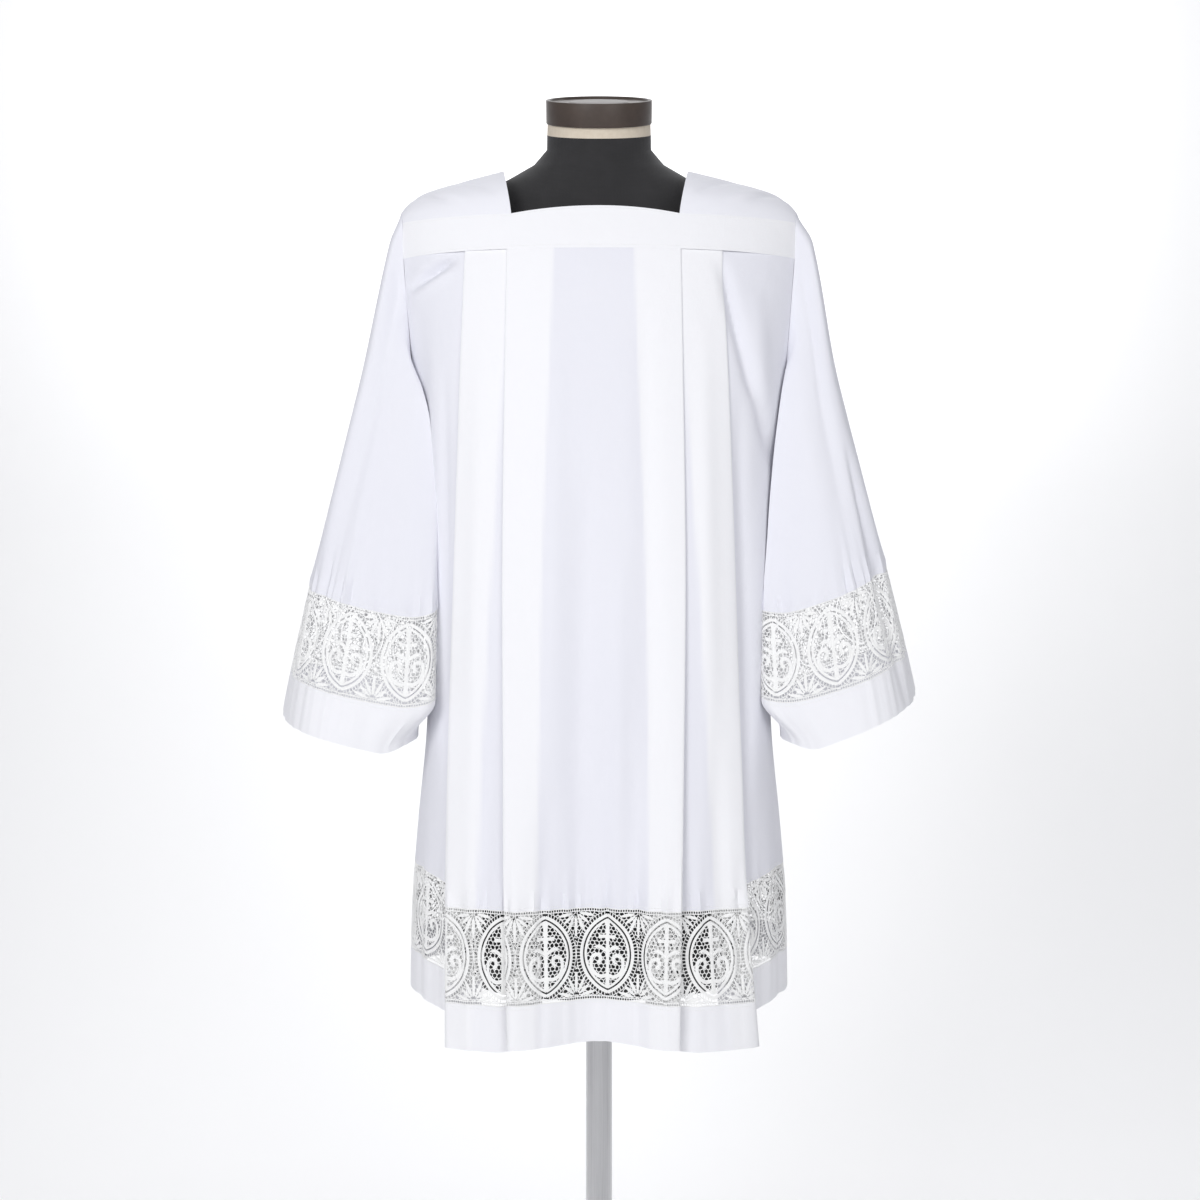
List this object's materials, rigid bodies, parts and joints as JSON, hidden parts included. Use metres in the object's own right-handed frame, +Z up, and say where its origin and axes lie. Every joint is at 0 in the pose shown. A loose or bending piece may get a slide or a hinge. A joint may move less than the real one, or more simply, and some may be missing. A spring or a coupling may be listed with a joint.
{
  "type": "surplice on a limbless dress form",
  "caption": "White square-necked surplice with pleated body, bell sleeves and lace insertion bands, worn by a limbless dress form in a black jersey cover on a round stand",
  "frame": {"origin": "on the flat underside of the stand's base, below the middle of the neckline", "axes": "+Z up, -Y to the front of the garment, +X to the viewer's right"},
  "size_m": [0.7233, 0.3874, 1.5352],
  "materials": {
    "cloth": "fine plain-woven white poly-cotton, soft and matt",
    "lace": "white cotton openwork lace",
    "form_cover": "black jersey cover drawn over a padded shell",
    "form_linen": "natural linen stretched over the form's neck",
    "form_cap": "dark brown, half gloss",
    "stand_pole": "satin steel tube",
    "stand_base": "black enamel"
  },
  "bodies": {
    "root": {"front_band_centre": "cloth", "front_band_left": "cloth", "front_band_right": "cloth", "back_band": "cloth", "strap_left": "cloth", "strap_right": "cloth", "front_panel": "cloth", "back_panel": "cloth", "front_lace": "lace", "back_lace": "lace", "front_hem": "cloth", "back_hem": "cloth", "sleeve_left": "cloth", "sleeve_right": "cloth", "sleeve_lace_left": "lace", "sleeve_lace_right": "lace", "sleeve_hem_left": "cloth", "sleeve_hem_right": "cloth", "form_body": "form_cover", "form_neck": "form_linen", "form_neck_cap": "form_cap", "form_pole": "stand_pole", "form_base": "stand_base"}
  },
  "joints": []
}
